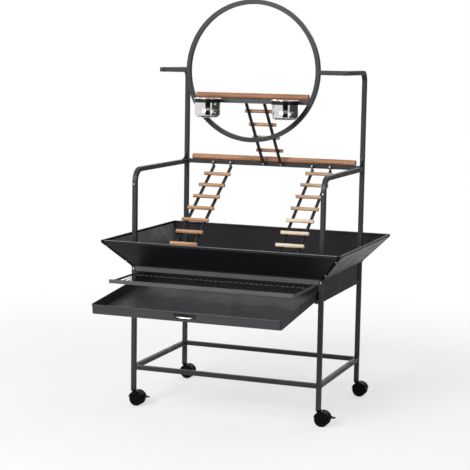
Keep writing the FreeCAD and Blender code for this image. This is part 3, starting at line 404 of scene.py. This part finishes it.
def dowels(node, body, chamfer, finish=None):
    """Turned dowels with softened ends in place of a node's plain ones, all lying along x."""
    spacing, waviness, undersize = 0.02, 0.00018, 0.0002
    mesh = bmesh.new()
    for points in shells(node):
        low, high = limits(points)
        radius = (high.z - low.z) / 2
        middle = (low + high) / 2
        length = high.x - low.x
        end = [(0, radius - chamfer), (chamfer * 0.3, radius - chamfer * 0.35),
               (chamfer, radius - chamfer * 0.03)]
        profile = list(end)
        rows = max(3, int(length / spacing))
        for row in range(rows + 1):
            along = chamfer * 1.6 + (length - chamfer * 3.2) * row / rows
            wave = math.sin(row * 1.9 + middle.z * 40) * waviness
            profile.append((along, radius - undersize + wave))
        profile += [(length - along, size) for along, size in reversed(end)]
        turned(mesh, (low.x, middle.y, middle.z), (1, 0, 0), profile, sides=40)
    return piece(node + "_turned", mesh, body, SLOT_OF[node], (node,), finish)


def welds():
    """Rippled fillets where the square tubes are welded to one another."""
    mesh = bmesh.new()
    spots = []
    for sx in (-1, 1):
        inner_x = sx * (LEG_X - HALF_TUBE)
        for y in (FRONT_Y, BACK_Y):
            inward = HALF_TUBE * (1 if y < 0 else -1)
            spots.append(((inner_x, y, LOWER_RAIL_Z), "x"))
            spots.append(((sx * LEG_X, y + inward, LOWER_RAIL_Z), "y"))
        spots.append(((inner_x, BACK_Y, CROSSBAR_Z), "x"))
        spots.append(((sx * LEG_X, BACK_Y - HALF_TUBE, SIDE_ARM_Z), "y"))
        spots.append(((inner_x, HOOP_Y, TOP_ARM_Z), "x"))
        spots.append(((sx * LEG_X, BACK_Y, POST_JOINT_Z), "z"))
    for centre, normal in spots:
        path = square_path(centre, normal, HALF_TUBE, TUBE_ROUND, steps=15)
        bead(mesh, path, radius=0.00085, ripple=0.22, waves=24)
    piece("weld_beads", mesh, "stand", "frame_black")


def screw_heads():
    """Domed heads with a cross recess on the screws."""
    largest, rim, dome, proud = 0.0115, 0.97, 0.0008, 0.00003
    slot_half, slot_reach, slot_depth = 0.00042, 0.0018, 0.0006
    rows, sides = 9, 48
    mesh = bmesh.new()
    middle = Vector((0, HOOP_Y, 0))
    for points in shells("fittings"):
        low, high = limits(points)
        if (high - low).length > largest:
            continue
        centre = sum(points, Vector()) / len(points)
        offsets = numpy.array([point - centre for point in points])
        axis = Vector(numpy.linalg.svd(offsets)[2][2])
        outward = centre - middle
        outward.z = 0
        if axis.dot(outward) < 0:
            axis = -axis
        top = max((point - centre).dot(axis) for point in points)
        radius = max(((point - centre) - axis * (point - centre).dot(axis)).length
                     for point in points)
        side, over = axes_of(axis)
        grid = []
        for row in range(rows + 1):
            reach = radius * rim * row / rows
            lift = dome * math.sqrt(max(0.0, 1 - (reach / radius) ** 2))
            ring = []
            for step in range(sides):
                turn = 2 * math.pi * step / sides
                a, b = reach * math.cos(turn), reach * math.sin(turn)
                narrow, wide = sorted((abs(a), abs(b)))
                sunk = slot_depth if narrow < slot_half and wide < slot_reach else 0
                ring.append(centre + axis * (top + proud + (lift - sunk)) + side * a + over * b)
            grid.append(ring)
        grid = [[grid[0][0]] * sides] + grid[1:]
        loft(mesh, grid)
    bmesh.ops.remove_doubles(mesh, verts=mesh.verts, dist=1e-7)
    piece("screw_heads", mesh, "stand", "bright_steel")


def arm_caps():
    """Crowned plugs that close the front ends of the top arms."""
    face_y = 0.1526
    crown = ((0.9, -0.0002), (0.9, 0.0003), (0.82, 0.0009), (0.6, 0.0013), (0.3, 0.0015))
    mesh = bmesh.new()
    for sx in (-1, 1):
        rings = [square_path((sx * LEG_X, face_y - lift, TOP_ARM_Z), "y",
                             HALF_TUBE * scale, TUBE_ROUND * scale, steps=6)
                 for scale, lift in crown]
        loft(mesh, rings)
        mesh.faces.new([mesh.verts.new(point) for point in rings[-1]])
    bmesh.ops.remove_doubles(mesh, verts=mesh.verts, dist=1e-7)
    piece("arm_plugs", mesh, "stand", "frame_black")


def pan_rim():
    """The rolled edge along the top of the four skirts, coated far lighter than them: a painted
    highlight.
    """
    inset, steps = 0.0009, 40
    mesh = bmesh.new()
    low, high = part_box("skirt_left")[0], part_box("skirt_right")[1]
    front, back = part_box("skirt_front")[0][1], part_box("skirt_back")[1][1]
    left, right, front, back = low[0] + inset, high[0] - inset, front + inset, back - inset
    height = high[2] - inset
    corners = [Vector((x, y, height)) for x, y in
               ((left, front), (right, front), (right, back), (left, back))]
    for start, end in zip(corners, corners[1:] + corners[:1]):
        path = [start.lerp(end, step / steps) for step in range(steps + 1)]
        bead(mesh, path, radius=0.0017, sides=10, closed=False)
    # Painted highlight: a light coat along the rim, which is the same black metal as the skirts.
    finish = coat("rim_painted_highlight_coat", (0.12, 0.122, 0.126), rough=0.38, gloss=0.4)
    piece("pan_rim", mesh, "stand", "skirt_black", finish=finish)


def tray_hem():
    """The rolled hem of the tray, in the tray's own tilt, coated lighter than the tray: a painted
    highlight.
    """
    half, front, back, top = 0.3915, -0.427, 0.103, 0.0433
    radius = 0.008
    path = []
    corners = ((half, front, -90), (half, back, 0), (-half, back, 90), (-half, front, 180))
    for x, y, begin in corners:
        inward = radius if y == front else -radius
        middle = Vector((x - math.copysign(radius, x), y + inward, top))
        for step in range(7):
            angle = math.radians(begin + 15 * step)
            path.append(middle + Vector((math.cos(angle), math.sin(angle), 0)) * radius)
    evened = []
    for point, after in zip(path, path[1:] + path[:1]):
        parts = 24 if (after - point).length > 0.05 else 1
        evened += [point.lerp(after, part / parts) for part in range(parts)]
    mesh = bmesh.new()
    bead(mesh, [TRAY @ point for point in evened], radius=0.0011)
    # Painted highlight: the hem is coated lighter than the rest of the tray.
    finish = coat("hem_painted_highlight_coat", (0.05, 0.053, 0.056), rough=0.4)
    piece("tray_hem", mesh, "tray", "tray_black", finish=finish)


def pull_height(across):
    """How tall the finger pull's pointed outline is from -1 to 1 along it, as a share."""
    return (1 - across * across) ** 0.75


def finger_pull():
    """The finger pull's pressed edge: a pointed outline and a bright scoop in its lower half."""
    half, tall, x, y, z = 0.0462, 0.0088, 0.003, -0.4272, 0.0283
    mesh = bmesh.new()
    outline = []
    for step in range(48):
        t = 2 * math.pi * step / 48
        across = math.cos(t)
        up = math.copysign(pull_height(across), math.sin(t))
        outline.append(Vector((x + half * across, y, z + tall * up)))
    bead(mesh, [TRAY @ point for point in outline], radius=0.0006)
    piece("pull_outline", mesh, "tray", "tray_black")

    # The scoop leans inward from the outline's lower edge, more and more as it rises.
    leans = (0, 0.12, 0.3, 0.5, 0.72, 0.9, 1.0)
    reach, inward, rise = 0.97, 0.0045, 0.62
    mesh = bmesh.new()
    grid = []
    for step in range(33):
        across = -reach + 2 * reach * step / 32
        drop = tall * pull_height(across)
        row = [Vector((x + half * across, y + inward * lean ** 1.5, z - drop * (1 - rise * lean)))
               for lean in leans]
        grid.append([mesh.verts.new(TRAY @ point) for point in row])
    for first, second in zip(grid, grid[1:]):
        for step in range(len(first) - 1):
            mesh.faces.new((first[step], second[step], second[step + 1], first[step + 1]))
    piece("pull_lips", mesh, "tray", "pull_steel")


def grate_wires():
    """The grate's drawn wires and cross rods, and the flat nubs where they are welded; the rods
    carry a painted highlight.
    """
    nub = [(0, 0.0004), (0.001, 0.0017), (0.0034, 0.0023), (0.0058, 0.0017), (0.0068, 0.0004)]
    nub_half = 0.0034
    rods, wires = [], []
    for points in shells("grate_wires"):
        low, high = limits(points)
        (rods if high.x - low.x > high.y - low.y else wires).append((low, high))
    rod_mesh, wire_mesh, nub_mesh = bmesh.new(), bmesh.new(), bmesh.new()
    for low, high in rods:
        radius = (high.z - low.z) / 2
        bead(rod_mesh, down_middle(low, high, 0, 36), radius, sides=12, closed=False)
    for low, high in wires:
        radius = (high.z - low.z) / 2
        bead(wire_mesh, down_middle(low, high, 1, 12), radius, sides=10, closed=False)
        middle_x = ((low + high) / 2).x
        for rod_low, rod_high in rods:
            rod_y = (rod_low.y + rod_high.y) / 2
            start = (middle_x, rod_y - nub_half, (low.z + rod_high.z) / 2)
            turned(nub_mesh, start, (0, 1, 0), nub, sides=10)
    piece("grate_wires_drawn", wire_mesh, "grate", "wire_steel", ("grate_wires",))
    # Painted highlight: the cross rods are coated lighter than the wires, which are the same steel.
    finish = coat("rod_painted_highlight_coat", (0.075, 0.078, 0.082), rough=0.4)
    piece("grate_rods_drawn", rod_mesh, "grate", "wire_steel", finish=finish)
    piece("grate_welds", nub_mesh, "grate", "wire_steel")


def steel_cup(node):
    """A pressed steel cup: rolled rim, step under it, two fine lines and a rounded foot."""
    low, high = (Vector(corner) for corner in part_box(node))
    x, y = (low.x + high.x) / 2, (low.y + high.y) / 2
    depth = high.z - low.z
    radius, wall, roll = 0.054, 0.0012, 0.0021
    bore, groove = radius - wall, radius - 0.0004
    profile = [
        # The foot, hollow in its middle.
        (0.0006, 0.0), (0.0002, 0.02), (0, 0.040), (0.0008, 0.0448), (0.0028, 0.0486),
        (0.0062, 0.0517), (0.0102, 0.0535), (0.016, radius),
        # The side with its two lines, up to the step.
        (0.0285, radius), (0.0292, groove), (0.0299, radius),
        (0.0322, radius), (0.0329, groove), (0.0336, radius),
        (0.06, radius), (depth - 0.006, radius), (depth - 0.004, radius + 0.0004),
    ]
    for step in range(11):
        angle = math.radians(-120 + 27 * step)
        profile.append((depth - roll + roll * math.sin(angle),
                        radius + 0.0029 + roll * math.cos(angle)))
    # Down the inside.
    profile += [(depth - 0.003, bore), (depth - 0.02, bore), (0.02, bore),
                (0.011, bore - 0.0015), (0.005, 0.047), (0.0018, 0.041), (wall, 0.03), (wall, 0.0)]
    mesh = bmesh.new()
    turned(mesh, (x, y, low.z), (0, 0, 1), profile, sides=96, capped=False)
    bmesh.ops.remove_doubles(mesh, verts=mesh.verts, dist=1e-6)
    piece(node + "_pressed", mesh, node, "cup_steel", (node,))


def caster_trim(label, leg_x, leg_y):
    """The moulding line over a caster's hood, and the cap in each side of its hub."""
    trail, axle_z = 0.018, 0.03
    hood_radius, cap_out, spoke_out, spoke_start = 0.0331, 0.0192, 0.0203, 0.0085
    cap = [(0, 0.0068), (0.0016, 0.0068), (0.0024, 0.006),
           (0.0025, 0.0035), (0.0018, 0.003), (0.0018, 0.0004)]
    spoke = [(0, 0.0005), (0.0012, 0.0013), (0.009, 0.0011), (0.0105, 0.0004)]
    axle = Vector((leg_x + trail, leg_y, axle_z))
    mesh = bmesh.new()
    turns = [math.radians(28 + 66 * step / 24) for step in range(25)]
    path = [axle + Vector((math.cos(t), 0, math.sin(t))) * hood_radius for t in turns]
    bead(mesh, path, radius=0.0006, closed=False)
    piece("hood_seam_" + label, mesh, "caster_" + label, "caster_black")
    mesh = bmesh.new()
    for way in (-1, 1):
        turned(mesh, axle + Vector((0, way * cap_out, 0)), (0, way, 0), cap, sides=32)
        for index in range(6):
            angle = math.radians(60 * index + 15)
            out = Vector((math.cos(angle), 0, math.sin(angle)))
            start = axle + Vector((0, way * spoke_out, 0)) + out * spoke_start
            turned(mesh, start, out, spoke, sides=8)
    piece("hub_caps_" + label, mesh, "wheels_" + label, "wheel_plastic")


dark_perch = wood("perch_grain_high", light=(0.40, 0.195, 0.105), dark=(0.24, 0.10, 0.05))
bare_rung = wood("rung_grain_bare", light=(0.90, 0.76, 0.60), dark=(0.66, 0.48, 0.33))
dowels("main_perch", "stand", chamfer=0.0022)
dowels("ring_perch", "stand", chamfer=0.0022, finish=dark_perch)
dowels("left_ladder_rungs", "left_ladder", chamfer=0.0016)
right_rungs = dowels("right_ladder_rungs", "right_ladder", chamfer=0.0016)
right_rungs.data.materials.append(bare_rung)
for face in right_rungs.data.polygons:
    face.material_index = 1 if face.center.z < BARE_BELOW else 0
dowels("top_ladder_rungs", "top_ladder", chamfer=0.0016)
welds()
screw_heads()
arm_caps()
pan_rim()
tray_hem()
finger_pull()
grate_wires()
for cup in ("cup_left", "cup_right"):
    steel_cup(cup)
for end, y in (("front", FRONT_Y), ("back", BACK_Y)):
    for side, x in (("left", -LEG_X), ("right", LEG_X)):
        caster_trim(f"{end}_{side}", x, y)


# Studio ------------------------------------------------------------------------------------------


def area_light(name, where, target, size, power):
    """A square area light aimed at a point."""
    data = bpy.data.lights.new(name, "AREA")
    data.shape = "SQUARE"
    data.size = size
    data.energy = power
    lamp = added(name, data)
    lamp.location = where
    aim = Vector(target) - Vector(where)
    lamp.rotation_euler = aim.to_track_quat("-Z", "Y").to_euler()


def lay_floor():
    """A pale floor that takes the stand's shadow and fades away round it."""
    bpy.ops.mesh.primitive_plane_add(size=60, location=(0, 0, 0))
    floor = bpy.context.object
    floor.name = "floor"
    material, tree, shader = new_material("floor_paper")
    shader.inputs["Base Color"].default_value = (0.9, 0.9, 0.9, 1)
    shader.inputs["Roughness"].default_value = 0.9
    shader.inputs["Specular IOR Level"].default_value = 0.1

    # To the camera the paper glows by a share, so that it comes out white.
    sight = add_node(tree, "ShaderNodeLightPath")
    share = tree.nodes.new("ShaderNodeMath")
    share.operation = "MULTIPLY"
    share.inputs[1].default_value = 0.6
    tree.links.new(sight.outputs["Is Camera Ray"], share.inputs[0])
    glow = add_node(tree, "ShaderNodeEmission")
    paper = mixed(tree, share.outputs["Value"], shader.outputs["BSDF"], glow.outputs["Emission"])

    # It turns clear between two distances from the origin.
    place = add_node(tree, "ShaderNodeTexCoord")
    reach = tree.nodes.new("ShaderNodeVectorMath")
    reach.operation = "LENGTH"
    fade = add_node(tree, "ShaderNodeMapRange", {"From Min": 0.7, "From Max": 3.2})
    fade.interpolation_type = "SMOOTHSTEP"
    clear = add_node(tree, "ShaderNodeBsdfTransparent")
    tree.links.new(place.outputs["Object"], reach.inputs[0])
    tree.links.new(reach.outputs["Value"], fade.inputs["Value"])
    faded = mixed(tree, fade.outputs["Result"], paper, clear.outputs["BSDF"])
    output = next(node for node in tree.nodes if node.type == "OUTPUT_MATERIAL")
    tree.links.new(faded, output.inputs["Surface"])
    floor.data.materials.append(material)


def light_world():
    """A world that lights the stand softly and is white to the camera and in reflections."""
    world = bpy.data.worlds.new("studio")
    bpy.context.scene.world = world
    world.use_nodes = True
    tree = world.node_tree
    tree.nodes.clear()
    soft = add_node(tree, "ShaderNodeBackground", {"Color": (0.96, 0.98, 1.0, 1), "Strength": 0.36})
    white = add_node(tree, "ShaderNodeBackground", {"Color": (1, 1, 1, 1), "Strength": 1.0})
    path = add_node(tree, "ShaderNodeLightPath")
    seen = path.outputs["Is Camera Ray"]
    for ray in ("Is Glossy Ray", "Is Transmission Ray"):
        either = tree.nodes.new("ShaderNodeMath")
        either.operation = "MAXIMUM"
        tree.links.new(seen, either.inputs[0])
        tree.links.new(path.outputs[ray], either.inputs[1])
        seen = either.outputs["Value"]
    output = add_node(tree, "ShaderNodeOutputWorld")
    sky = mixed(tree, seen, soft.outputs["Background"], white.outputs["Background"])
    tree.links.new(sky, output.inputs["Surface"])


def flag(name, start, end, tone):
    """A dark upright card seen in reflections only, between two bearings round the stand."""
    away, half_height, middle_y, steps = 7.5, 6.0, 0.1, 12
    points = []
    for step in range(steps + 1):
        bearing = math.radians(start + (end - start) * step / steps)
        x, y = away * math.cos(bearing), middle_y + away * math.sin(bearing)
        points += [(x, y, -half_height), (x, y, half_height)]
    faces = [(2 * step, 2 * step + 1, 2 * step + 3, 2 * step + 2) for step in range(steps)]
    data = bpy.data.meshes.new(name)
    data.from_pydata(points, [], faces)
    card = added(name, data)
    material, _, shader = new_material(name + "_cloth")
    shader.inputs["Base Color"].default_value = (tone, tone, tone, 1)
    shader.inputs["Roughness"].default_value = 1.0
    shader.inputs["Specular IOR Level"].default_value = 0.0
    data.materials.append(material)
    card.visible_camera = False
    card.visible_diffuse = False
    card.visible_shadow = False


def camera():
    """The camera, its place, direction, roll and lens fitted to the photograph."""
    where = (2.0272, -5.3352, 1.4859)
    yaw, pitch, roll = (math.radians(angle) for angle in (20.844, 7.504, 0.952))
    ahead = Vector((-math.sin(yaw) * math.cos(pitch), math.cos(yaw) * math.cos(pitch),
                    -math.sin(pitch)))
    level = Vector((math.cos(yaw), math.sin(yaw), 0))
    right = level * math.cos(roll) + level.cross(ahead) * math.sin(roll)
    over = right.cross(ahead)
    data = bpy.data.cameras.new("view")
    data.lens = 106.85
    data.sensor_width = 36
    data.clip_end = 200
    view = added("view", data)
    turn = Matrix((right, over, -ahead)).transposed().to_4x4()
    view.matrix_world = Matrix.Translation(where) @ turn
    bpy.context.scene.camera = view


lay_floor()
light_world()
area_light("key", (-1.3, -4.9, 3.5), target=(0, 0, 0.8), size=2.4, power=300)
area_light("fill", (4.8, -2.4, 2.8), target=(0, 0, 0.9), size=3.0, power=24)
area_light("rim", (1.5, 4.5, 4.0), target=(0, 0, 1.0), size=2.5, power=70)
flag("flag_front", start=-90, end=-44, tone=0.01)
flag("flag_side", start=-30, end=75, tone=0.12)
camera()
bpy.context.scene.view_settings.view_transform = "Standard"
